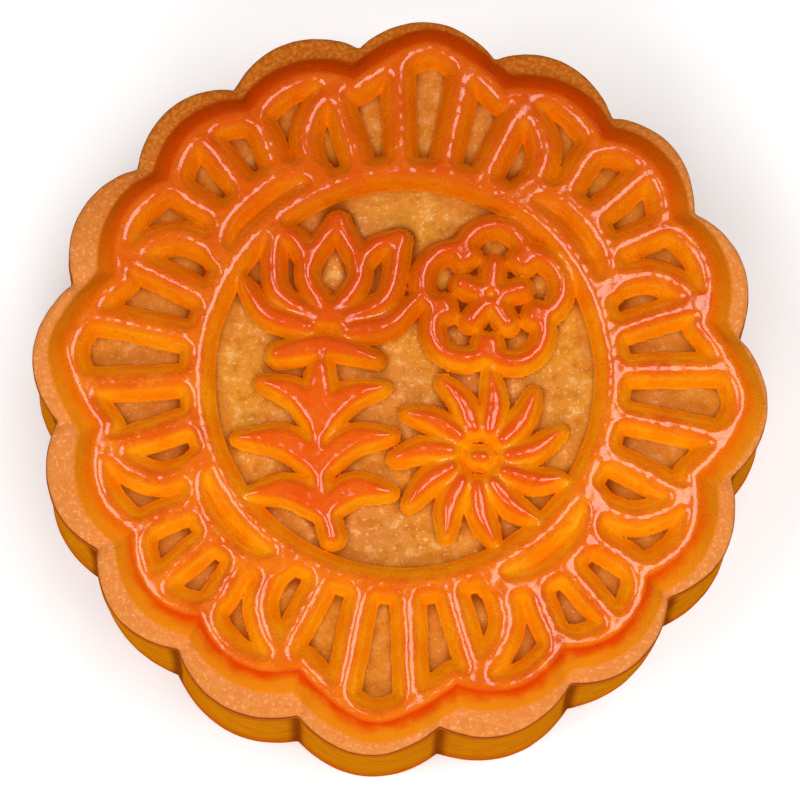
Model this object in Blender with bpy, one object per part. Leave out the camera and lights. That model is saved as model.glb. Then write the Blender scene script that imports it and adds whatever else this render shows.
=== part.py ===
"""A round moulded mooncake: one solid with a sixteen-lobed rim and a relief pressed into its top.

Metres, +Z up. The cake stands on its flat base with the origin at the middle of that base. The
relief repeats eight times round the cake: every curve of it is drawn once, between a quarter axis
(0 degrees) and the diagonal next to it (45 degrees), and each point of the top is folded into that
eighth before it is measured. Only the four sprigs in the middle are drawn one by one.
"""

import math

import bmesh
import bpy
import numpy as np

MM = 0.001

# Driving dimensions, in millimetres and degrees.
CAKE_HEIGHT = 33.0
RELIEF_HEIGHT = 2.5
DOME_HEIGHT = 0.4
OVAL = 0.003  # share by which the cake is longer along Y and shorter along X
LEAN = (0.90, -0.44)  # the top sits this far off the middle of the base, in X and Y
RELIEF_SHIFT = (0.65, 0.18)  # and the relief this far off the middle of the top
TOP_EDGE_ROUND = 0.8
BASE_EDGE_ROUND = 1.6
WALL_CURVE = 0.8  # power of the wall's flare from the ledge down to the base
LEDGE_HEIGHT = CAKE_HEIGHT - RELIEF_HEIGHT - DOME_HEIGHT

# A ridge is rounded like a roll of dough; its foot is measured from its middle line.
FOOT_HALF = 2.05
RIM_SLOPE_FOOT = 2.90  # the outer side of the scalloped ridge runs further out
SPRIG_FOOT_HALF = 1.60
ROUNDNESS = (2.1, 0.66)  # powers of the ridge's section: fullness of the crest, steepness of the foot
FILLET = 6.0  # the higher this power, the sharper the valley between ridges that meet

MEDALLION_RING = 23.2
# Lobes as (middle, radius at the tip, fall per degree on the flanks, degrees over which the tip rounds).
RIDGE_LOBES = ((0.0, 37.4, 0.33, 3.0), (25.3, 35.7, 0.80, 20.0), (45.0, 36.05, 0.93, 20.0))
LEDGE_LOBES = ((0.0, 41.45, 0.88, 20.0), (22.9, 41.0, 0.80, 20.0), (45.0, 40.95, 0.88, 20.0))
BASE_LOBES = ((0.0, 45.7, 0.85, 20.0), (22.9, 45.2, 0.73, 20.0), (45.0, 44.2, 0.50, 20.0))
CREASES = (11.9, 33.9)  # folded angles between the lobes, where a crease crosses the ledge
CREASE_DEPTH = 0.55
CREASE_HALF = 0.9
CREASE_START = 1.5  # how far outside the scalloped ridge's crest a crease begins
CRESCENT_TIP = (45.0, 27.1)
CRESCENT_END = (28.0, 24.8)
# Ribs as points (angle, radius), from the scalloped ridge inwards.
RIBS = {
    "axis": ((6.2, 36.2), (5.8, 23.2)),
    "straight": ((18.4, 33.6), (16.9, 23.2)),
    "curved": ((19.0, 33.7), (23.6, 31.9), (27.4, 29.6), (28.8, 26.6), (27.8, 23.4)),
    "notch": ((35.0, 33.8), (35.0, 31.4), (36.6, 26.8)),
    "diagonal": ((45.0, 35.9), (45.0, 27.1)),
}
RIBS_OF_CRESCENT = ("notch", "diagonal")  # these end on the crescent, the others on the medallion ring

SPIN_STEPS = 384
TARGET_TRIANGLES = 9000
EDGE_RADIUS = 40.0  # the profile's outer radius before the lobes are pressed into it
PLAIN_RADIUS = 27.0  # inside this radius the rings of the mesh stay circles
RIDGE_RADIUS = 35.4  # the ring of the mesh that follows the crest of the scalloped ridge
RIM_SWEEP = np.linspace(-4.0, 49.0, 107)  # folded angles of the rim's crest line, a little past both ends
CRESCENT_SWEEP = np.linspace(CRESCENT_TIP[0], CRESCENT_END[0], 24)
BASE_TOLERANCE = 0.01  # points this near the ground belong to the flat base
HAIR = 1e-6  # a gap too small to matter


def folded(x, y):
    """Angle in degrees from the nearest quarter axis, 0 to 45, and the radius."""
    angle = np.degrees(np.arctan2(y, x))
    return np.abs((angle + 45.0) % 90.0 - 45.0), np.hypot(x, y)


def scallops(angle, lobes):
    """Radius of a scalloped outline at folded angles: each lobe falls away from its tip, the highest wins."""
    radius = np.zeros_like(angle)
    for middle, tip, fall, rounding in lobes:
        drop = fall * (np.hypot(angle - middle, rounding) - rounding)
        radius = np.maximum(radius, tip - drop)
    return radius


def crescent_radius(angle):
    """Radius of the crescent's middle line at folded angles."""
    away = np.clip((CRESCENT_TIP[0] - angle) / (CRESCENT_TIP[0] - CRESCENT_END[0]), 0.0, 1.0)
    return CRESCENT_TIP[1] + (CRESCENT_END[1] - CRESCENT_TIP[1]) * away**3


def polar(angle, radius):
    a = np.radians(angle)
    return np.stack([radius * np.cos(a), radius * np.sin(a)], axis=-1)


def smooth_curve(points, per_span=8):
    """A Catmull-Rom curve through the points, as a polyline."""
    points = np.asarray(points, float)
    if len(points) == 2:
        return points
    padded = np.vstack([2 * points[0] - points[1], points, 2 * points[-1] - points[-2]])
    steps = np.linspace(0.0, 1.0, per_span, endpoint=False)[:, None]
    spans = []
    for a, b, c, d in zip(padded, padded[1:], padded[2:], padded[3:]):
        spans.append(
            0.5 * (2 * b + (c - a) * steps + (2 * a - 5 * b + 4 * c - d) * steps**2
                   + (3 * b - a - 3 * c + d) * steps**3)
        )
    return np.vstack(spans + [points[-1:]])


def distance_to(points, line, fuller=None):
    """Distance of each point to a polyline, less what the line is `fuller` by at each of its points."""
    nearest = np.full(len(points), np.inf)
    fuller = np.zeros(len(line)) if fuller is None else fuller
    for start, end, wide, next_wide in zip(line, line[1:], fuller, fuller[1:]):
        run = end - start
        along = np.clip(((points - start) @ run) / (run @ run), 0.0, 1.0)
        gap = np.linalg.norm(points - start - along[:, None] * run, axis=1)
        nearest = np.minimum(nearest, gap - wide - along * (next_wide - wide))
    return nearest


def ridge(distance, foot):
    """Height of a ridge, 0 to 1, at a distance from its middle line."""
    out = np.clip(distance / foot, 0.0, 1.0)
    return (1.0 - out ** ROUNDNESS[0]) ** ROUNDNESS[1]


def blend(heights):
    """Joins ridges: the higher one wins, with a small fillet where they meet."""
    total = sum(height**FILLET for height in heights)
    return np.minimum(total ** (1.0 / FILLET), 1.0)


def ledge_crease(x, y):
    """Depth of the creases that cross the ledge between the lobes; they fade out under the scalloped ridge."""
    angle, radius = folded(x, y)
    aside = np.min([np.abs(np.radians(angle - middle)) * radius for middle in CREASES], axis=0)
    beyond = np.clip(radius - scallops(angle, RIDGE_LOBES) - CREASE_START, 0.0, 1.0)
    return CREASE_DEPTH * beyond * np.exp(-((aside / CREASE_HALF) ** 2))


def border_relief(x, y):
    """Rings, crescents and ribs round the medallion, 0 to 1."""
    angle, radius = folded(x, y)
    points = polar(angle, radius)
    rim = distance_to(points, polar(RIM_SWEEP, scallops(np.abs(RIM_SWEEP), RIDGE_LOBES)))
    outside = radius > scallops(angle, RIDGE_LOBES)
    heights = [
        np.where(outside, ridge(rim, RIM_SLOPE_FOOT), ridge(rim, FOOT_HALF)),
        ridge(np.abs(radius - MEDALLION_RING), FOOT_HALF),
    ]
    crescent = distance_to(points, polar(CRESCENT_SWEEP, crescent_radius(CRESCENT_SWEEP)))
    between = ~outside & (radius > MEDALLION_RING)
    heights.append(np.where(between, ridge(crescent, FOOT_HALF), 0.0))
    for name, rib in RIBS.items():
        height = ridge(distance_to(points, smooth_curve(polar(*np.array(rib).T))), FOOT_HALF)
        reached = between & (radius > crescent_radius(angle)) if name in RIBS_OF_CRESCENT else between
        heights.append(np.where(reached, height, 0.0))
    return blend(heights)


def arc(centre, radius, start, end, count=15):
    """Points on an arc from one angle to another, in degrees."""
    a = np.radians(np.linspace(start, end, count))
    return np.array(centre) + radius * np.stack([np.cos(a), np.sin(a)], axis=-1)


def stroke(*points):
    """A ridge of one width through the points."""
    line = smooth_curve(points)
    return line, np.zeros(len(line))


def leaf(root, tip, bend, fuller=0.55):
    """A leaf-shaped ridge, full in its middle and pointed at its tip; its middle is moved sideways by `bend`."""
    root, tip = np.array(root, float), np.array(tip, float)
    run = tip - root
    middle = 0.5 * (root + tip) + bend * np.array([-run[1], run[0]]) / np.hypot(*run)
    line = smooth_curve([root, middle, tip])
    along = np.linspace(0.0, 1.0, len(line))
    return line, fuller * np.sin(math.pi * along**0.8) - 0.5 * along**3


def lotus():
    """An open lotus flower above a curved leaf."""
    strokes = [stroke((0.0, -3.6), (-3.0, 1.6), (0.0, 7.4)), stroke((0.0, -3.6), (3.0, 1.6), (0.0, 7.4))]
    for hand in (-1.0, 1.0):
        strokes.append(stroke((hand * 1.2, -3.9), (hand * 6.2, -0.8), (hand * 7.0, 5.8)))
        strokes.append(stroke((hand * 7.0, 5.8), (hand * 4.6, 4.9), (hand * 2.9, 2.8)))
        strokes.append(leaf((hand * 2.2, -5.0), (hand * 10.0, -0.4), -hand * 1.3, 0.2))
    strokes.append(leaf((-5.4, -8.2), (5.8, -8.0), 1.2, 0.3))
    return strokes


def plum_blossom():
    """A five-petalled blossom with its stamens, seen from the front."""
    strokes = []
    for k in range(5):
        turn = 90.0 + 72.0 * k
        petal = arc(polar(turn, 4.6), 3.5, turn - 100.0, turn + 100.0)
        strokes.append((petal, np.zeros(len(petal))))
        strokes.append(stroke(polar(turn, 1.2), polar(turn, 3.5)))
    return strokes


def leaf_spray():
    """A bent stem with leaves in pairs, getting smaller towards its tip."""
    strokes = [stroke((2.6, -9.8), (0.7, -4.6), (-0.2, 0.6), (0.3, 4.4))]
    strokes.append(leaf((0.3, 3.6), (-0.6, 10.0), 0.4))
    for root, left, right in (
        ((1.4, -6.9), (-7.2, -6.0), (8.4, -4.4)),
        ((0.3, -2.4), (-8.8, 0.2), (8.0, 1.8)),
        ((0.0, 1.8), (-6.9, 6.6), (6.6, 7.0)),
    ):
        strokes.append(leaf(root, left, -1.3))
        strokes.append(leaf(root, right, 1.3))
    return strokes


def chrysanthemum():
    """A round flower of narrow petals that all lean the same way."""
    petals = 11
    strokes = [stroke((-0.4, 0.0), (0.4, 0.0))]
    for k in range(petals):
        turn = 360.0 * k / petals + 8.0
        strokes.append(leaf(polar(turn, 3.3), polar(turn + 14.0, 9.3), -0.5, 0.2))
    return strokes


# The flowers and leaves of the medallion, and where their middles lie.
SPRIGS = (
    (lotus, (-8.9, 9.4)),
    (plum_blossom, (8.9, 9.6)),
    (leaf_spray, (-8.8, -8.6)),
    (chrysanthemum, (9.1, -8.4)),
)


def medallion_relief(x, y):
    """The flowers and leaves inside the medallion ring, 0 to 1."""
    points = np.stack([x, y], axis=-1)
    heights = [np.zeros_like(x)]
    for draw, place in SPRIGS:
        for line, fuller in draw():
            distance = distance_to(points, line + np.array(place), fuller)
            heights.append(ridge(distance, SPRIG_FOOT_HALF))
    return blend(heights)


def relief(x, y):
    height = border_relief(x, y)
    inside = np.hypot(x, y) < MEDALLION_RING
    height[inside] = blend([height[inside], medallion_relief(x[inside], y[inside])])
    return height


def profile():
    """Half section of the plain puck, (radius, height), from the middle of the top to the middle of the base."""
    top = [(r, LEDGE_HEIGHT) for r in np.linspace(0.0, EDGE_RADIUS - TOP_EDGE_ROUND, 88)]
    turns = np.radians([22.5, 45.0, 67.5, 90.0])
    shoulder = [
        (EDGE_RADIUS - TOP_EDGE_ROUND * (1 - math.sin(a)), LEDGE_HEIGHT - TOP_EDGE_ROUND * (1 - math.cos(a)))
        for a in turns
    ]
    wall = [(EDGE_RADIUS, z) for z in np.linspace(LEDGE_HEIGHT - TOP_EDGE_ROUND, BASE_EDGE_ROUND, 9)[1:]]
    heel = [
        (EDGE_RADIUS - BASE_EDGE_ROUND * (1 - math.cos(a)), BASE_EDGE_ROUND * (1 - math.sin(a)))
        for a in turns
    ]
    base = [(r, 0.0) for r in np.linspace(EDGE_RADIUS - BASE_EDGE_ROUND, 0.0, 6)[1:]]
    return top + shoulder + wall + heel + base


def pressed(points):
    """Moves the points of the spun puck to the shape that the mould gives them."""
    x, y, z = points.T
    radius = np.hypot(x, y)
    angle, _ = folded(x, y)
    crest = scallops(angle, RIDGE_LOBES)
    ledge = scallops(angle, LEDGE_LOBES)
    base = scallops(angle, BASE_LOBES)
    on_top = z > LEDGE_HEIGHT - TOP_EDGE_ROUND - HAIR
    share = np.clip(z / LEDGE_HEIGHT, 0.0, 1.0)
    wall = base + (ledge - base) * share**WALL_CURVE
    to_crest = PLAIN_RADIUS + (radius - PLAIN_RADIUS) / (RIDGE_RADIUS - PLAIN_RADIUS) * (crest - PLAIN_RADIUS)
    to_ledge = crest + (radius - RIDGE_RADIUS) / (EDGE_RADIUS - RIDGE_RADIUS) * (ledge - crest)
    top = np.where(radius > RIDGE_RADIUS, to_ledge, np.where(radius > PLAIN_RADIUS, to_crest, radius))
    new_radius = np.where(on_top, top, radius * wall / EDGE_RADIUS)
    grow = new_radius / np.maximum(radius, HAIR)
    moved = np.where(on_top, np.clip((EDGE_RADIUS - radius) / (EDGE_RADIUS - RIDGE_RADIUS), 0.0, 1.0), 0.0)
    x = x * grow + share * LEAN[0] + moved * RELIEF_SHIFT[0]
    y = y * grow + share * LEAN[1] + moved * RELIEF_SHIFT[1]
    flat = z > LEDGE_HEIGHT - HAIR
    height = np.zeros_like(z)
    middle_x, middle_y = LEAN[0] + RELIEF_SHIFT[0], LEAN[1] + RELIEF_SHIFT[1]
    height[flat] = relief(x[flat] - middle_x, y[flat] - middle_y) * RELIEF_HEIGHT
    height[on_top] -= ledge_crease(x[on_top] - LEAN[0], y[on_top] - LEAN[1])
    dome = DOME_HEIGHT * np.clip(1.0 - (new_radius / RIDGE_RADIUS) ** 2, 0.0, 1.0)
    z = z + height + np.where(flat, dome, 0.0)
    return np.stack([x * (1.0 - OVAL), y * (1.0 + OVAL), z], axis=-1)


def spun_puck():
    """The profile spun round the Z axis, closed at both poles."""
    bm = bmesh.new()
    line = [bm.verts.new((r, 0.0, z)) for r, z in profile()]
    edges = [bm.edges.new(pair) for pair in zip(line, line[1:])]
    bmesh.ops.spin(
        bm, geom=line + edges, axis=(0, 0, 1), cent=(0, 0, 0), angle=2 * math.pi, steps=SPIN_STEPS, use_merge=True
    )
    bmesh.ops.remove_doubles(bm, verts=bm.verts, dist=1e-4)
    return bm


def in_fixed_order(bm):
    """A mesh of the same faces, whose edges and faces come in the same order in every build."""
    bm.verts.index_update()
    faces = []
    for face in bm.faces:
        corners = [vert.index for vert in face.verts]
        first = corners.index(min(corners))
        faces.append(corners[first:] + corners[:first])
    mesh = bpy.data.meshes.new("dense_mooncake")
    mesh.from_pydata([vert.co for vert in bm.verts], [], sorted(faces))
    return mesh


def crust_material():
    material = bpy.data.materials.new("baked_crust")
    material.use_nodes = True
    shader = material.node_tree.nodes["Principled BSDF"]
    shader.inputs["Base Color"].default_value = (0.80, 0.24, 0.02, 1.0)
    shader.inputs["Roughness"].default_value = 0.35
    shader.inputs["Metallic"].default_value = 0.0
    return material


def fewer_triangles(cake):
    """Merges the triangles of the flatter parts, then sets the base exactly flat."""
    triangles = sum(len(face.vertices) - 2 for face in cake.data.polygons)
    thinning = cake.modifiers.new("fewer_triangles", "DECIMATE")
    thinning.ratio = TARGET_TRIANGLES / triangles
    graph = bpy.context.evaluated_depsgraph_get()
    thinned = bpy.data.meshes.new_from_object(cake.evaluated_get(graph))
    cake.modifiers.clear()
    cake.data = thinned
    thinned.name = "mooncake"
    for vert in thinned.vertices:
        if vert.co.z < BASE_TOLERANCE * MM:
            vert.co.z = 0.0


def make_cake():
    bm = spun_puck()
    points = pressed(np.array([v.co for v in bm.verts], float))
    for vert, point in zip(bm.verts, points * MM):
        vert.co = point
    bmesh.ops.recalc_face_normals(bm, faces=bm.faces)
    mesh = in_fixed_order(bm)
    bm.free()
    mesh.materials.append(crust_material())
    mesh.shade_smooth()
    cake = bpy.data.objects.new("mooncake", mesh)
    bpy.context.scene.collection.objects.link(cake)
    fewer_triangles(cake)


for thing in list(bpy.data.objects):
    bpy.data.objects.remove(thing)
make_cake()
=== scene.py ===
"""The looks of a moulded mooncake: a finely modelled crust in place of the plain solid, in soft studio light.

The crust is grown ring by ring from the middle of the top to the middle of the base, then pressed into the
mould's shape. Each point also learns what it is part of (crest, hollow, ledge, wall), so that the baker's
glaze, the browning and the painted shade in hollows, notches and on the far side follow the relief.
"""

import math

import bmesh
import bpy
import numpy as np
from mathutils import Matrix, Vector, noise


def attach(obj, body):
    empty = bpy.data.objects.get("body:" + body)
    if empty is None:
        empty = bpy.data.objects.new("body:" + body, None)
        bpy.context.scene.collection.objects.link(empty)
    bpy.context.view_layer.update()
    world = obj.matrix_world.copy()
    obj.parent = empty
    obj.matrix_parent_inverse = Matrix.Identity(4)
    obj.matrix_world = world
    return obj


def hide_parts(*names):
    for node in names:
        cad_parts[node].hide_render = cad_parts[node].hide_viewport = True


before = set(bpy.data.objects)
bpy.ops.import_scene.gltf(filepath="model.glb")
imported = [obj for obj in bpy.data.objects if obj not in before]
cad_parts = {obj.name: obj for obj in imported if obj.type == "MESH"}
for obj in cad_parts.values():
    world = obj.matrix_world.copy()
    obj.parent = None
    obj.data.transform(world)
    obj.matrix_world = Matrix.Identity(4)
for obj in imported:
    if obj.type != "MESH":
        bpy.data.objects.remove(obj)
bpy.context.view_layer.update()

MM = 0.001

# ---------------------------------------------------------------- the mould, in millimetres and degrees
CAKE_HEIGHT = 33.0
RELIEF_HEIGHT = 2.5
DOME_HEIGHT = 0.4
OVAL = 0.003  # share by which the cake is longer along Y and shorter along X
LEAN = (0.90, -0.44)  # the top sits this far off the middle of the base, in X and Y
RELIEF_SHIFT = (0.65, 0.18)  # and the relief this far off the middle of the top
TOP_EDGE_ROUND = 0.8
BASE_EDGE_ROUND = 1.6
WALL_CURVE = 0.8  # power of the wall's flare from the ledge down to the base
LEDGE_HEIGHT = CAKE_HEIGHT - RELIEF_HEIGHT - DOME_HEIGHT

# A ridge is rounded like a roll of dough; its foot is measured from its middle line.
FOOT_HALF = 2.05
RIM_SLOPE_FOOT = 2.90  # the outer side of the scalloped ridge runs further out
SPRIG_FOOT_HALF = 1.60
ROUNDNESS = (2.1, 0.82)  # powers of the section: fullness of the crest, steepness of the foot
SLOPE_ROUNDNESS = (1.8, 1.15)  # the same for the outer side of the scalloped ridge
FILLET = 6.0  # the higher this power, the sharper the valley between ridges that meet
# The painted shade in the hollows follows this shelter beside the ridges.
SHELTER_REACH = 3.6  # how far from a border ridge's middle line its shelter ends
SPRIG_SHELTER_REACH = 3.0

MEDALLION_RING = 23.2
# Lobes as (middle, radius at the tip, fall per degree on the flanks, degrees over which the tip rounds).
RIDGE_LOBES = ((0.0, 37.4, 0.33, 3.0), (25.3, 35.7, 0.80, 20.0), (45.0, 36.05, 0.93, 20.0))
LEDGE_LOBES = ((0.0, 41.45, 0.88, 20.0), (22.9, 41.0, 0.80, 20.0), (45.0, 40.95, 0.88, 20.0))
BASE_LOBES = ((0.0, 45.7, 0.85, 20.0), (22.9, 45.2, 0.73, 20.0), (45.0, 44.2, 0.50, 20.0))
LEDGE_AT_TIP = 41.2  # the ledge's radius at the tip of a lobe, and in the notch between two lobes
LEDGE_AT_NOTCH = 38.6
CREASES = (11.9, 33.9)  # folded angles between the lobes, where a crease crosses the ledge
CREASE_DEPTH = 0.55
CREASE_HALF = 0.9
CREASE_START = 1.5  # how far outside the scalloped ridge's crest a crease begins
CRESCENT_TIP = (45.0, 27.1)
CRESCENT_END = (28.0, 24.8)
# Ribs as points (angle, radius), from the scalloped ridge inwards.
RIBS = {
    "axis": ((6.2, 36.2), (5.8, 23.2)),
    "straight": ((18.4, 33.6), (16.9, 23.2)),
    "curved": ((19.0, 33.7), (23.6, 31.9), (27.4, 29.6), (28.8, 26.6), (27.8, 23.4)),
    "notch": ((35.0, 33.8), (35.0, 31.4), (36.6, 26.8)),
    "diagonal": ((45.0, 35.9), (45.0, 27.1)),
}
RIBS_OF_CRESCENT = ("notch", "diagonal")  # these end on the crescent, the others on the medallion ring

# ---------------------------------------------------------------- unevenness: (how much, over what length)
WANDER = (0.16, 6.5)  # the lines of the pattern wander sideways
SWELL = (0.10, 4.2)  # ridges get wider and narrower
SAG = (0.05, 9.0)  # and higher and lower, as a share of their height
PEBBLE_LENGTH = 0.75
PEBBLE_IN_HOLLOWS = 0.085
PEBBLE_LESS_ON_CRESTS = 0.015
BULGE = (0.22, 9.0)  # the wall bulges
BULGE_FLATTER = 0.8  # and the bulges are this much longer up the wall
WALL_GRAIN = (0.05, 1.6)
WALL_GROWS_UNEVEN = 3.0  # height above the base at which the wall's unevenness is full
FAR_SIDE = 98.0  # direction of the side drawn darker and redder, with painted shade on the rim's outer slope there

# ---------------------------------------------------------------- how finely the crust is modelled
EDGE_RADIUS = 40.0  # the plain puck's outer radius before the lobes are pressed into it
PLAIN_RADIUS = 27.0  # inside this radius the rings of the mesh stay circles
RIDGE_RADIUS = 35.4  # the ring of the mesh that follows the crest of the scalloped ridge
FEWEST_SEGMENTS = 90
DOUBLING_RADII = (5.0, 10.0, 20.0)
INNER_STEP = 0.30
OUTER_STEP = 0.275
ROUNDING_RINGS = 5
WALL_RINGS = 20
BASE_RINGS = (36.6, 34.0, 28.0)
LINE_STEPS = 213
CRESCENT_STEPS = 60
FAR = 99.0  # a distance at which no ridge is felt
NOT_ON_TOP = 9.0  # what points off the top have as their distance beyond the rim
HAIR = 1e-6  # a gap too small to matter
ABOVE_BASE = 0.01


# ---------------------------------------------------------------- drawing the relief

def folded(x, y):
    """Angle in degrees from the nearest quarter axis, 0 to 45, and the radius."""
    angle = np.degrees(np.arctan2(y, x))
    return np.abs((angle + 45.0) % 90.0 - 45.0), np.hypot(x, y)


def scallops(angle, lobes):
    """Radius of a scalloped outline at folded angles: each lobe falls away from its tip, the highest wins."""
    radius = np.zeros_like(angle)
    for middle, tip, fall, rounding in lobes:
        radius = np.maximum(radius, tip - fall * (np.hypot(angle - middle, rounding) - rounding))
    return radius


def crescent_radius(angle):
    """Radius of the crescent's middle line at folded angles."""
    away = np.clip((CRESCENT_TIP[0] - angle) / (CRESCENT_TIP[0] - CRESCENT_END[0]), 0.0, 1.0)
    return CRESCENT_TIP[1] + (CRESCENT_END[1] - CRESCENT_TIP[1]) * away**3


def polar(angle, radius):
    a = np.radians(angle)
    return np.stack([radius * np.cos(a), radius * np.sin(a)], axis=-1)


def smooth_curve(points, per_span=20):
    """A Catmull-Rom curve through the points, as a polyline."""
    points = np.asarray(points, float)
    if len(points) == 2:
        return points
    padded = np.vstack([2 * points[0] - points[1], points, 2 * points[-1] - points[-2]])
    steps = np.linspace(0.0, 1.0, per_span, endpoint=False)[:, None]
    spans = []
    for a, b, c, d in zip(padded, padded[1:], padded[2:], padded[3:]):
        spans.append(
            0.5 * (2 * b + (c - a) * steps + (2 * a - 5 * b + 4 * c - d) * steps**2
                   + (3 * b - a - 3 * c + d) * steps**3)
        )
    return np.vstack(spans + [points[-1:]])


def distance_to(points, line, fuller=None):
    """Distance of each point to a polyline, less what the line is `fuller` by at each of its points."""
    nearest = np.full(len(points), np.inf)
    fuller = np.zeros(len(line)) if fuller is None else fuller
    for start, end, wide, next_wide in zip(line, line[1:], fuller, fuller[1:]):
        run = end - start
        along = np.clip(((points - start) @ run) / (run @ run), 0.0, 1.0)
        gap = np.linalg.norm(points - start - along[:, None] * run, axis=1)
        nearest = np.minimum(nearest, gap - wide - along * (next_wide - wide))
    return nearest


def ridge(distance, foot, roundness=ROUNDNESS):
    """Height of a ridge, 0 to 1, at a distance from its middle line."""
    out = np.clip(distance / foot, 0.0, 1.0)
    return (1.0 - out ** roundness[0]) ** roundness[1]


def blend(heights):
    """Joins ridges: the higher one wins, with a small fillet where they meet."""
    total = sum(height**FILLET for height in heights)
    return np.minimum(total ** (1.0 / FILLET), 1.0)


def ledge_crease(x, y):
    """Depth of the creases that cross the ledge between the lobes; they end at the scalloped ridge."""
    angle, radius = folded(x, y)
    aside = np.min([np.abs(np.radians(angle - middle)) * radius for middle in CREASES], axis=0)
    beyond = np.clip(radius - scallops(angle, RIDGE_LOBES) - CREASE_START, 0.0, 1.0)
    return CREASE_DEPTH * beyond * np.exp(-((aside / CREASE_HALF) ** 2))


def arc(centre, radius, start, end, count=60):
    """Points on an arc from one angle to another, in degrees."""
    a = np.radians(np.linspace(start, end, count))
    return np.array(centre) + radius * np.stack([np.cos(a), np.sin(a)], axis=-1)


def stroke(*points):
    """A ridge of one width through the points."""
    line = smooth_curve(points)
    return line, np.zeros(len(line))


def leaf(root, tip, bend, fuller=0.55):
    """A leaf-shaped ridge, full in its middle and pointed at its tip; `bend` moves its middle sideways."""
    root, tip = np.array(root, float), np.array(tip, float)
    run = tip - root
    middle = 0.5 * (root + tip) + bend * np.array([-run[1], run[0]]) / np.hypot(*run)
    line = smooth_curve([root, middle, tip])
    along = np.linspace(0.0, 1.0, len(line))
    return line, fuller * np.sin(math.pi * along**0.8) - 0.5 * along**3


def lotus():
    """An open lotus flower above a curved leaf."""
    strokes = [stroke((0.0, -3.6), (-3.0, 1.6), (0.0, 7.4)), stroke((0.0, -3.6), (3.0, 1.6), (0.0, 7.4))]
    for hand in (-1.0, 1.0):
        strokes.append(stroke((hand * 1.2, -3.9), (hand * 6.2, -0.8), (hand * 7.0, 5.8)))
        strokes.append(stroke((hand * 7.0, 5.8), (hand * 4.6, 4.9), (hand * 2.9, 2.8)))
        strokes.append(leaf((hand * 2.2, -5.0), (hand * 10.0, -0.4), -hand * 1.3, 0.2))
    strokes.append(leaf((-5.4, -8.2), (5.8, -8.0), 1.2, 0.3))
    return strokes


def plum_blossom():
    """A five-petalled blossom with its stamens, seen from the front."""
    strokes = []
    for k in range(5):
        turn = 90.0 + 72.0 * k
        petal = arc(polar(turn, 4.6), 3.5, turn - 100.0, turn + 100.0)
        strokes.append((petal, np.zeros(len(petal))))
        strokes.append(stroke(polar(turn, 1.2), polar(turn, 3.5)))
    return strokes


def leaf_spray():
    """A bent stem with leaves in pairs, getting smaller towards its tip."""
    strokes = [stroke((2.6, -9.8), (0.7, -4.6), (-0.2, 0.6), (0.3, 4.4))]
    strokes.append(leaf((0.3, 3.6), (-0.6, 10.0), 0.4))
    for root, left, right in (
        ((1.4, -6.9), (-7.2, -6.0), (8.4, -4.4)),
        ((0.3, -2.4), (-8.8, 0.2), (8.0, 1.8)),
        ((0.0, 1.8), (-6.9, 6.6), (6.6, 7.0)),
    ):
        strokes.append(leaf(root, left, -1.3))
        strokes.append(leaf(root, right, 1.3))
    return strokes


def chrysanthemum():
    """A round flower of narrow petals that all lean the same way."""
    petals = 11
    strokes = [stroke((-0.4, 0.0), (0.4, 0.0))]
    for k in range(petals):
        turn = 360.0 * k / petals + 8.0
        strokes.append(leaf(polar(turn, 3.3), polar(turn + 14.0, 9.3), -0.5, 0.2))
    return strokes


# The flowers and leaves of the medallion, and where their middles lie.
SPRIGS = (
    (lotus, (-8.9, 9.4)),
    (plum_blossom, (8.9, 9.6)),
    (leaf_spray, (-8.8, -8.6)),
    (chrysanthemum, (9.1, -8.4)),
)


# ---------------------------------------------------------------- unevenness from pressing and baking

def noise_at(x, y, z, wavelength, seed):
    """Smooth noise, about -1 to 1, whose bumps are `wavelength` millimetres apart."""
    offset = Vector((17.3 * seed, -9.1 * seed, 5.7 * seed))
    scale = 1.0 / wavelength
    return np.array([noise.noise(Vector(p) * scale + offset) for p in zip(x, y, z)])


def shelter_at(gap, reach):
    """How sheltered a point is, 0 to 1, beside a ridge whose middle line is this far away."""
    return np.clip(1.0 - gap / reach, 0.0, 1.0) ** 1.5


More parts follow.
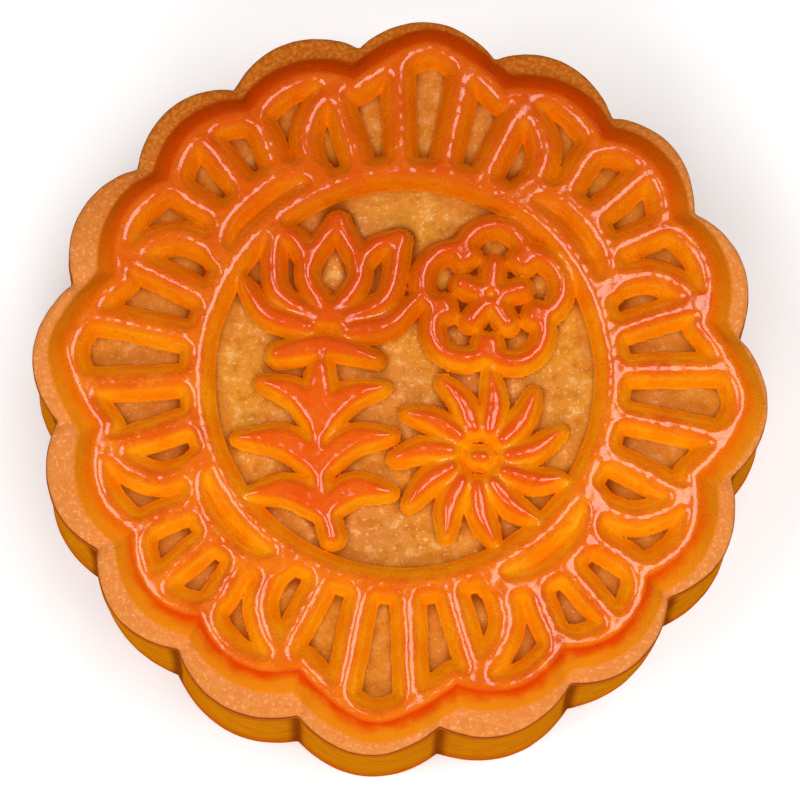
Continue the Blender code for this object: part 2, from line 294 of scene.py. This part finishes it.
def relief(x, y, swell):
    """At each point of the top: its height, how sheltered it is, and how far outside the rim's crest."""
    angle, radius = folded(x, y)
    points = polar(angle, radius)
    sweep = np.linspace(-4.0, 49.0, LINE_STEPS)  # a little past both ends of the folded eighth
    rim = distance_to(points, polar(sweep, scallops(np.abs(sweep), RIDGE_LOBES)))
    outside = radius > scallops(angle, RIDGE_LOBES)
    between = ~outside & (radius > MEDALLION_RING)
    beyond_crescent = between & (radius > crescent_radius(angle))
    reach = np.linspace(CRESCENT_TIP[0], CRESCENT_END[0], CRESCENT_STEPS)
    gaps = [np.where(between, distance_to(points, polar(reach, crescent_radius(reach))), FAR)]
    for name, rib in RIBS.items():
        reached = beyond_crescent if name in RIBS_OF_CRESCENT else between
        gaps.append(np.where(reached, distance_to(points, smooth_curve(polar(*np.array(rib).T))), FAR))
    gaps.append(np.abs(radius - MEDALLION_RING))
    heights = [ridge(gap - swell, FOOT_HALF) for gap in gaps]
    shelter = [shelter_at(gap, SHELTER_REACH) for gap in gaps]
    inner_side = ridge(rim - swell, FOOT_HALF)
    outer_side = ridge(rim - swell, RIM_SLOPE_FOOT, SLOPE_ROUNDNESS)
    heights.append(np.where(outside, outer_side, inner_side))
    shelter.append(np.where(outside, 0.0, shelter_at(rim, SHELTER_REACH)))
    inside = radius < MEDALLION_RING
    flat_points = np.stack([x[inside], y[inside]], axis=-1)
    for draw, place in SPRIGS:
        for line, fuller in draw():
            gap = np.full(len(x), FAR)
            gap[inside] = distance_to(flat_points, line + np.array(place), fuller)
            heights.append(ridge(gap - swell, SPRIG_FOOT_HALF))
            shelter.append(shelter_at(gap, SPRIG_SHELTER_REACH))
    in_the_open = np.prod([1.0 - share for share in shelter], axis=0)
    return blend(heights), 1.0 - in_the_open, np.where(outside, rim, -rim)


# ---------------------------------------------------------------- growing the crust

def ring_profile():
    """(radius, height) of every ring of the plain puck, from the middle of the top to that of the base."""
    rings = list(np.arange(INNER_STEP, DOUBLING_RADII[-1], INNER_STEP)) + [DOUBLING_RADII[-1]]
    outer = EDGE_RADIUS - TOP_EDGE_ROUND - DOUBLING_RADII[-1]
    rings += list(DOUBLING_RADII[-1] + np.linspace(0.0, outer, round(outer / OUTER_STEP) + 1)[1:])
    top = [(r, LEDGE_HEIGHT) for r in rings]
    turns = np.radians(np.linspace(0.0, 90.0, ROUNDING_RINGS + 1)[1:])
    shoulder = [
        (EDGE_RADIUS - TOP_EDGE_ROUND * (1 - math.sin(a)), LEDGE_HEIGHT - TOP_EDGE_ROUND * (1 - math.cos(a)))
        for a in turns
    ]
    wall_heights = np.linspace(LEDGE_HEIGHT - TOP_EDGE_ROUND, BASE_EDGE_ROUND, WALL_RINGS + 1)[1:]
    wall = [(EDGE_RADIUS, z) for z in wall_heights]
    heel = [
        (EDGE_RADIUS - BASE_EDGE_ROUND * (1 - math.cos(a)), BASE_EDGE_ROUND * (1 - math.sin(a)))
        for a in turns
    ]
    base = [(r, 0.0) for r in BASE_RINGS]
    return top + shoulder + wall + heel + base


def place_ring(verts, radius, height):
    """Moves points straight in or out to a radius, and to a height."""
    for vert in verts:
        x, y, _ = vert.co
        share = radius / math.hypot(x, y)
        vert.co = (x * share, y * share, height)


def grown_puck():
    """A plain round puck of fine rings; the number of points in a ring doubles at each doubling radius."""
    bm = bmesh.new()
    rings = ring_profile()
    bmesh.ops.create_circle(bm, cap_ends=True, cap_tris=True, segments=FEWEST_SEGMENTS, radius=rings[0][0])
    border = [edge for edge in bm.edges if edge.is_boundary]
    place_ring({v for e in border for v in e.verts}, *rings[0])
    for vert in bm.verts:
        vert.co.z = LEDGE_HEIGHT
    doublings = list(DOUBLING_RADII)
    last = rings[0][0]
    for radius, height in rings[1:]:
        if doublings and last >= doublings[0] - HAIR:
            doublings.pop(0)
            split = bmesh.ops.subdivide_edges(bm, edges=border, cuts=1)
            border = [g for g in split["geom_split"] if isinstance(g, bmesh.types.BMEdge)]
            border = [edge for edge in border if edge.is_boundary]
            place_ring({v for e in border for v in e.verts}, last, height)
        made = bmesh.ops.extrude_edge_only(bm, edges=border)["geom"]
        verts = [g for g in made if isinstance(g, bmesh.types.BMVert)]
        place_ring(verts, radius, height)
        border = [g for g in made if isinstance(g, bmesh.types.BMEdge) and g.is_boundary]
        last = radius
    bmesh.ops.contextual_create(bm, geom=border)
    bmesh.ops.triangulate(bm, faces=[face for face in bm.faces if len(face.verts) > 5])
    return bm


def lobed(x, y, z, on_top):
    """The plain puck's points moved sideways to the lobed outline; also their new radius and the ledge's."""
    radius = np.hypot(x, y)
    angle, _ = folded(x, y)
    crest = scallops(angle, RIDGE_LOBES)
    ledge = scallops(angle, LEDGE_LOBES)
    base = scallops(angle, BASE_LOBES)
    share = np.clip(z / LEDGE_HEIGHT, 0.0, 1.0)
    wall = base + (ledge - base) * share**WALL_CURVE
    to_crest = PLAIN_RADIUS + (radius - PLAIN_RADIUS) / (RIDGE_RADIUS - PLAIN_RADIUS) * (crest - PLAIN_RADIUS)
    to_ledge = crest + (radius - RIDGE_RADIUS) / (EDGE_RADIUS - RIDGE_RADIUS) * (ledge - crest)
    top = np.where(radius > RIDGE_RADIUS, to_ledge, np.where(radius > PLAIN_RADIUS, to_crest, radius))
    new_radius = np.where(on_top, top, radius * wall / EDGE_RADIUS)
    grow = new_radius / np.maximum(radius, HAIR)
    inwards = np.clip((EDGE_RADIUS - radius) / (EDGE_RADIUS - RIDGE_RADIUS), 0.0, 1.0)
    moved = np.where(on_top, inwards, 0.0)
    x = x * grow + share * LEAN[0] + moved * RELIEF_SHIFT[0]
    y = y * grow + share * LEAN[1] + moved * RELIEF_SHIFT[1]
    return x, y, new_radius, ledge


def pressed(points):
    """The points moved to the shape that mould and oven give them, and what each is part of."""
    x, y, z = points.T
    on_top = z > LEDGE_HEIGHT - TOP_EDGE_ROUND - HAIR
    flat = z > LEDGE_HEIGHT - HAIR
    x, y, new_radius, ledge = lobed(x, y, z, on_top)

    fx, fy = x[flat], y[flat]
    level = np.zeros_like(fx)
    wander_x = WANDER[0] * noise_at(fx, fy, level, WANDER[1], 1)
    wander_y = WANDER[0] * noise_at(fx, fy, level, WANDER[1], 2)
    swell = SWELL[0] * noise_at(fx, fy, level, SWELL[1], 3)
    pebble = noise_at(fx, fy, level, PEBBLE_LENGTH, 4)
    sag = 1.0 + SAG[0] * noise_at(fx, fy, level, SAG[1], 5)
    middle_x, middle_y = LEAN[0] + RELIEF_SHIFT[0], LEAN[1] + RELIEF_SHIFT[1]
    raised, sheltered, outward = relief(fx - middle_x + wander_x, fy - middle_y + wander_y, swell)
    part = {"raised": np.zeros_like(z), "shelter": np.zeros_like(z)}
    part["beyond_rim"] = np.full_like(z, NOT_ON_TOP)
    part["raised"][flat] = raised
    part["shelter"][flat] = sheltered
    part["beyond_rim"][flat] = outward

    height = np.zeros_like(z)
    pebble *= PEBBLE_IN_HOLLOWS - PEBBLE_LESS_ON_CRESTS * raised
    height[flat] = raised * RELIEF_HEIGHT * sag + pebble
    height[on_top] -= ledge_crease(x[on_top] - LEAN[0], y[on_top] - LEAN[1])
    dome = DOME_HEIGHT * np.clip(1.0 - (new_radius / RIDGE_RADIUS) ** 2, 0.0, 1.0)
    new_z = z + height + np.where(flat, dome, 0.0)

    side = ~flat & (z > ABOVE_BASE)
    sx, sy, sz = x[side], y[side], z[side]
    bulge = BULGE[0] * noise_at(sx, sy, sz * BULGE_FLATTER, BULGE[1], 6)
    bulge += WALL_GRAIN[0] * noise_at(sx, sy, sz, WALL_GRAIN[1], 7)
    out = 1.0 + bulge * np.clip(sz / WALL_GROWS_UNEVEN, 0.0, 1.0) / EDGE_RADIUS
    x[side] = sx * out
    y[side] = sy * out

    part["wall_height"] = np.clip(z / LEDGE_HEIGHT, 0.0, 1.0)
    # How deep in a notch a point lies; the wall there is drawn in painted shade.
    in_notch = np.clip((LEDGE_AT_TIP - ledge) / (LEDGE_AT_TIP - LEDGE_AT_NOTCH), 0.0, 1.0)
    part["notch"] = in_notch * np.clip(z / BASE_EDGE_ROUND, 0.0, 1.0)
    part["on_top"] = np.where(on_top, 1.0, 0.0)
    part["far_side"] = 0.5 + 0.5 * np.cos(np.arctan2(y, x) - math.radians(FAR_SIDE))
    return np.stack([x * (1.0 - OVAL), y * (1.0 + OVAL), new_z], axis=-1), part


def make_crust(material):
    bm = grown_puck()
    bmesh.ops.recalc_face_normals(bm, faces=bm.faces)
    mesh = bpy.data.meshes.new("crust")
    bm.to_mesh(mesh)
    bm.free()
    count = len(mesh.vertices)
    flat = np.empty(count * 3, np.float32)
    mesh.vertices.foreach_get("co", flat)
    points, part = pressed(flat.reshape(-1, 3).astype(float))
    mesh.vertices.foreach_set("co", (points * MM).astype(np.float32).ravel())
    for name, values in part.items():
        mesh.attributes.new(name, "FLOAT", "POINT").data.foreach_set("value", values.astype(np.float32))
    mesh.shade_smooth()
    mesh.update()
    mesh.materials.append(material)
    crust = bpy.data.objects.new("crust", mesh)
    bpy.context.scene.collection.objects.link(crust)
    return crust


# ---------------------------------------------------------------- materials

def tone(red, green, blue):
    """A colour as it looks on a screen, 0 to 255, as the linear colour that a shader takes."""
    def linear(c):
        c = c / 255.0
        return c / 12.92 if c <= 0.04045 else ((c + 0.055) / 1.055) ** 2.4
    return (linear(red), linear(green), linear(blue), 1.0)


class Nodes:
    """Short calls for the nodes of one material."""

    def __init__(self, name):
        self.material = bpy.data.materials.new(name)
        self.material.use_nodes = True
        self.tree = self.material.node_tree
        self.shader = self.tree.nodes["Principled BSDF"]

    def put(self, socket, value):
        """Links a node's output to the socket, or sets the socket to a plain value."""
        if isinstance(value, bpy.types.NodeSocket):
            self.tree.links.new(value, socket)
        else:
            socket.default_value = value

    def attribute(self, name):
        node = self.tree.nodes.new("ShaderNodeAttribute")
        node.attribute_name = name
        return node.outputs["Fac"]

    def place(self):
        """Where a point of the object is."""
        return self.tree.nodes.new("ShaderNodeTexCoord").outputs["Object"]

    def stretched(self, vector, scale):
        """The vector with each of its axes scaled."""
        node = self.tree.nodes.new("ShaderNodeVectorMath")
        node.operation = "MULTIPLY"
        self.put(node.inputs[0], vector)
        node.inputs[1].default_value = scale
        return node.outputs["Vector"]

    def grain(self, vector, size_mm, detail=3.0, roughness=0.55):
        """Noise, about 0.2 to 0.8, whose spots are about `size_mm` across."""
        node = self.tree.nodes.new("ShaderNodeTexNoise")
        self.put(node.inputs["Vector"], vector)
        node.inputs["Scale"].default_value = 1.0 / (size_mm * MM)
        node.inputs["Detail"].default_value = detail
        node.inputs["Roughness"].default_value = roughness
        return node.outputs["Fac"]

    def math(self, operation, a, b=0.0):
        node = self.tree.nodes.new("ShaderNodeMath")
        node.operation = operation
        for socket, value in zip(node.inputs, (a, b)):
            self.put(socket, value)
        return node.outputs[0]

    def ramp(self, value, low, high, out_low=0.0, out_high=1.0):
        """Goes smoothly from out_low, where the value is low, to out_high, where it is high."""
        node = self.tree.nodes.new("ShaderNodeMapRange")
        node.interpolation_type = "SMOOTHSTEP"
        for name, given in (("Value", value), ("From Min", low), ("From Max", high),
                            ("To Min", out_low), ("To Max", out_high)):
            self.put(node.inputs[name], given)
        return node.outputs["Result"]

    def mix(self, share, a, b):
        node = self.tree.nodes.new("ShaderNodeMix")
        node.data_type = "RGBA"
        self.put(node.inputs["Factor"], share)
        self.put(node.inputs["A"], a)
        self.put(node.inputs["B"], b)
        return node.outputs["Result"]

    def bump(self, height, strength, distance_mm, normal=None):
        node = self.tree.nodes.new("ShaderNodeBump")
        self.put(node.inputs["Height"], height)
        node.inputs["Strength"].default_value = strength
        node.inputs["Distance"].default_value = distance_mm * MM
        if normal is not None:
            self.put(node.inputs["Normal"], normal)
        return node.outputs["Normal"]


def baked_crust():
    """Glazed golden crust: glossy orange relief, rim belted red, matt tan hollows and ledge, ochre wall, with
    painted shade in the hollows' corners, the notches and on the far side.
    """
    n = Nodes("baked_crust")
    here = n.place()
    raised = n.attribute("raised")
    shelter = n.attribute("shelter")
    beyond = n.attribute("beyond_rim")
    wall_height = n.attribute("wall_height")
    notch = n.attribute("notch")
    on_top = n.attribute("on_top")
    far_side = n.attribute("far_side")

    broad = n.grain(here, 14.0, 2.0)
    patchy = n.grain(here, 3.2, 3.0)
    blotchy = n.grain(here, 1.6, 3.0, 0.6)
    fine = n.grain(here, 0.45, 3.0, 0.6)
    grainy = n.grain(here, 0.9, 5.0, 0.75)
    far_darkening = n.ramp(far_side, 0.62, 0.95)

    # Relief: golden sides and deeper orange crests, the whole darker and redder on the far side in painted
    # shade.
    side = n.mix(n.ramp(patchy, 0.35, 0.65), tone(255, 160, 8), tone(248, 136, 4))
    side = n.mix(n.ramp(blotchy, 0.30, 0.50, 0.5, 0.0), side, tone(236, 108, 4))
    crest = n.mix(n.ramp(patchy, 0.35, 0.65), tone(244, 120, 2), tone(234, 98, 0))
    crest = n.mix(n.ramp(broad, 0.50, 0.66, 0.0, 0.6), crest, tone(218, 72, 2))
    crest = n.mix(n.ramp(blotchy, 0.45, 0.70, 0.0, 0.7), crest, tone(246, 138, 18))
    in_medallion = n.ramp(beyond, -13.4, -14.2)
    crest = n.mix(n.math("MULTIPLY", in_medallion, 0.6), crest, tone(236, 74, 0))
    glazed = n.mix(n.ramp(raised, 0.74, 0.99), side, crest)

    # Outer side of the rim: a belt under the crest, red at the front and the back, then a golden slope, drawn
    # in painted shade on the far side.
    # The slope on the far side faces away from the lamps and is drawn in painted shade.
    slope = n.mix(far_darkening, tone(234, 132, 18), tone(190, 66, 4))
    ends = n.ramp(n.math("ABSOLUTE", n.math("SUBTRACT", far_side, 0.5)), 0.12, 0.42)
    belt = n.mix(ends, tone(236, 108, 4), tone(220, 62, 0))
    blurred = n.math("ADD", beyond, n.ramp(patchy, 0.3, 0.7, -0.3, 0.3))
    slope = n.mix(n.ramp(blurred, 0.7, 2.3), belt, slope)
    glazed = n.mix(n.ramp(beyond, 0.25, 0.8), glazed, slope)
    # Painted shade: the whole relief darker and redder towards the far side.
    glazed = n.mix(n.ramp(far_side, 0.40, 0.97, 0.0, 0.55), glazed, tone(206, 70, 0))

    # Hollows: tan and mottled, freckled with pale specks, with painted shade in the narrow corners beside the
    # ridges.
    hollow = n.mix(n.ramp(broad, 0.35, 0.65), tone(220, 142, 44), tone(212, 130, 56))
    hollow = n.mix(n.ramp(blotchy, 0.50, 0.34, 0.0, 0.8), hollow, tone(196, 114, 30))
    hollow = n.mix(n.ramp(blotchy, 0.54, 0.68, 0.0, 0.7), hollow, tone(236, 176, 104))
    hollow = n.mix(n.ramp(fine, 0.58, 0.70, 0.0, 0.6), hollow, tone(244, 202, 140))
    hollow = n.mix(n.ramp(in_medallion, 0.0, 1.0, 0.4, 0.0), hollow, tone(190, 102, 26))
    # Painted shade: darker brown where the ridges shelter the hollow.
    hollow = n.mix(n.ramp(shelter, 0.12, 0.60), hollow, tone(138, 60, 10))
    in_hollow = n.math("MULTIPLY", n.ramp(raised, 0.16, 0.02), n.ramp(beyond, 0.6, 0.0))
    top = n.mix(in_hollow, glazed, hollow)

    # Ledge: pale and grainy, darker and browner towards the far side, with a dark line round its edge.
    ledge = n.mix(n.ramp(grainy, 0.36, 0.66), tone(224, 132, 58), tone(232, 146, 74))
    ledge = n.mix(n.ramp(fine, 0.56, 0.68, 0.0, 0.6), ledge, tone(246, 182, 124))
    darker_ledge = n.mix(n.ramp(fine, 0.40, 0.66), tone(186, 92, 18), tone(206, 122, 44))
    ledge = n.mix(far_darkening, ledge, darker_ledge)
    is_ledge = n.math("MULTIPLY", n.ramp(beyond, 2.7, 3.1), on_top)
    edge_line = n.math("MULTIPLY", n.ramp(wall_height, 0.950, 0.968), n.ramp(wall_height, 0.992, 0.980))

    # Wall: streaky ochre, darker under the ledge and at the foot, with painted shade in the creases of the
    # notches.
    streaky = n.grain(n.stretched(here, (1.0, 1.0, 3.5)), 2.6, 3.0)
    wall = n.mix(n.ramp(streaky, 0.35, 0.65), tone(218, 134, 10), tone(204, 108, 5))
    wall = n.mix(n.ramp(wall_height, 0.86, 0.98), wall, tone(176, 62, 8))
    wall = n.mix(n.ramp(wall_height, 0.25, 0.0), wall, tone(198, 84, 4))
    # Painted shade in the creases between the lobes.
    wall = n.mix(n.ramp(notch, 0.72, 0.95, 0.0, 0.85), wall, tone(126, 46, 4))
    top = n.mix(is_ledge, top, ledge)
    crust = n.mix(on_top, wall, top)
    n.put(n.shader.inputs["Base Color"], n.mix(edge_line, crust, tone(150, 54, 6)))

    # Egg glaze: a glossy coat on the crests only.
    on_relief = n.math("MULTIPLY", on_top, n.math("SUBTRACT", 1.0, is_ledge))
    gloss = n.math("MULTIPLY", n.ramp(raised, 0.2, 0.8, 0.25, 1.0), on_relief)
    gloss = n.math("MULTIPLY", gloss, n.ramp(beyond, 1.3, 0.4))
    n.put(n.shader.inputs["Roughness"], n.ramp(gloss, 0.0, 1.0, 0.62, 0.45))
    n.put(n.shader.inputs["Coat Weight"], n.ramp(gloss, 0.25, 1.0, 0.0, 1.0))
    n.shader.inputs["Specular IOR Level"].default_value = 0.0
    n.shader.inputs["Coat Roughness"].default_value = 0.14
    n.shader.inputs["Coat IOR"].default_value = 1.5
    n.shader.inputs["Subsurface Weight"].default_value = 0.10
    n.shader.inputs["Subsurface Radius"].default_value = (1.0, 0.35, 0.08)
    n.shader.inputs["Subsurface Scale"].default_value = 0.0012

    wrinkles = n.grain(n.stretched(here, (1.0, 1.0, 0.4)), 0.34, 4.0, 0.7)
    skin = n.bump(wrinkles, 0.9, 0.24)
    pores = n.grain(here, 0.17, 2.0, 0.6)
    skin = n.bump(pores, 0.8, 0.09, skin)
    n.put(n.shader.inputs["Normal"], skin)
    n.put(n.shader.inputs["Coat Normal"], n.bump(wrinkles, 0.9, 0.009))
    return n.material


def floor_material():
    """Plain white, faintly lit from within so that it stays pale in the shade."""
    n = Nodes("pale_floor")
    n.shader.inputs["Base Color"].default_value = (0.90, 0.90, 0.90, 1.0)
    n.shader.inputs["Roughness"].default_value = 0.7
    n.shader.inputs["Emission Color"].default_value = (1.0, 1.0, 1.0, 1.0)
    n.shader.inputs["Emission Strength"].default_value = 0.14
    return n.material


# ---------------------------------------------------------------- studio

# Where the camera stands, in degrees and metres, and where it looks.
CAMERA_TILT = 9.04  # off straight down
CAMERA_TURN = 4.92  # of the picture round the cake's axis
CAMERA_SWING = 6.5  # of the tilt, from the front to the right
CAMERA_DISTANCE = 0.2283
CAMERA_LENS = 93.2
AIM_BELOW = 0.00296  # the aim lies this far below and left of the middle of the relief
AIM_LEFT = 0.00044
# Soft boxes as (name, direction, distance, size, watts, whether the glaze mirrors it).
SOFT_BOXES = (
    ("key", (0.36, 0.04, 0.92), 0.8, (0.42, 0.48), 4.0, True),
    ("left", (-0.48, -0.12, 0.86), 0.9, (0.34, 0.46), 3.2, True),
    ("front", (0.0, -0.78, 0.62), 0.9, (0.55, 0.28), 3.5, False),
)


def make_floor():
    bm = bmesh.new()
    bmesh.ops.create_grid(bm, x_segments=1, y_segments=1, size=4.0)
    mesh = bpy.data.meshes.new("floor")
    bm.to_mesh(mesh)
    bm.free()
    mesh.materials.append(floor_material())
    floor = bpy.data.objects.new("floor", mesh)
    bpy.context.scene.collection.objects.link(floor)


def aim(thing, target, up=Vector((0.0, 0.0, 1.0))):
    """Turns a camera or light so that it looks at the target, with `up` upwards in its view."""
    back = (thing.location - target).normalized()
    right = up.cross(back).normalized()
    over = back.cross(right)
    rotation = thing.rotation_euler.to_matrix()
    rotation.col[0], rotation.col[1], rotation.col[2] = right, over, back
    thing.rotation_euler = rotation.to_euler()


def soft_box(name, direction, distance, size, watts, mirrored):
    data = bpy.data.lights.new(name, "AREA")
    data.shape = "RECTANGLE"
    data.size, data.size_y = size
    data.energy = watts
    light = bpy.data.objects.new(name, data)
    light.visible_glossy = mirrored
    bpy.context.scene.collection.objects.link(light)
    centre = Vector((0.0, 0.0, CAKE_HEIGHT * MM))
    light.location = centre + Vector(direction).normalized() * distance
    aim(light, centre, Vector((0.0, 1.0, 0.2)))


def make_studio():
    world = bpy.data.worlds.new("soft_room")
    world.use_nodes = True
    world.node_tree.nodes["Background"].inputs["Color"].default_value = (1.0, 1.0, 1.0, 1.0)
    world.node_tree.nodes["Background"].inputs["Strength"].default_value = 0.08
    bpy.context.scene.world = world
    for box in SOFT_BOXES:
        soft_box(*box)
    bpy.context.scene.view_settings.view_transform = "Standard"


def make_camera():
    """Looks down at the relief from close by, a little from the front and the right."""
    tilt, turn, swing = math.radians(CAMERA_TILT), math.radians(CAMERA_TURN), math.radians(CAMERA_SWING)
    upwards = Vector((-math.sin(turn), math.cos(turn), 0.0))
    sideways = Vector((math.cos(turn), math.sin(turn), 0.0))
    middle = Vector((LEAN[0] + RELIEF_SHIFT[0], LEAN[1] + RELIEF_SHIFT[1], CAKE_HEIGHT)) * MM
    toward = math.sin(swing) * sideways - math.cos(swing) * upwards
    data = bpy.data.cameras.new("camera")
    data.sensor_width = 36.0
    data.lens = CAMERA_LENS
    data.clip_start, data.clip_end = 0.01, 20.0
    camera = bpy.data.objects.new("camera", data)
    bpy.context.scene.collection.objects.link(camera)
    overhead = Vector((0.0, 0.0, math.cos(tilt)))
    camera.location = middle + CAMERA_DISTANCE * (math.sin(tilt) * toward + overhead)
    aim(camera, middle - upwards * AIM_BELOW - sideways * AIM_LEFT, upwards)
    bpy.context.scene.camera = camera


crust = make_crust(baked_crust())
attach(crust, "root")
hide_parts("mooncake")
make_floor()
make_studio()
make_camera()
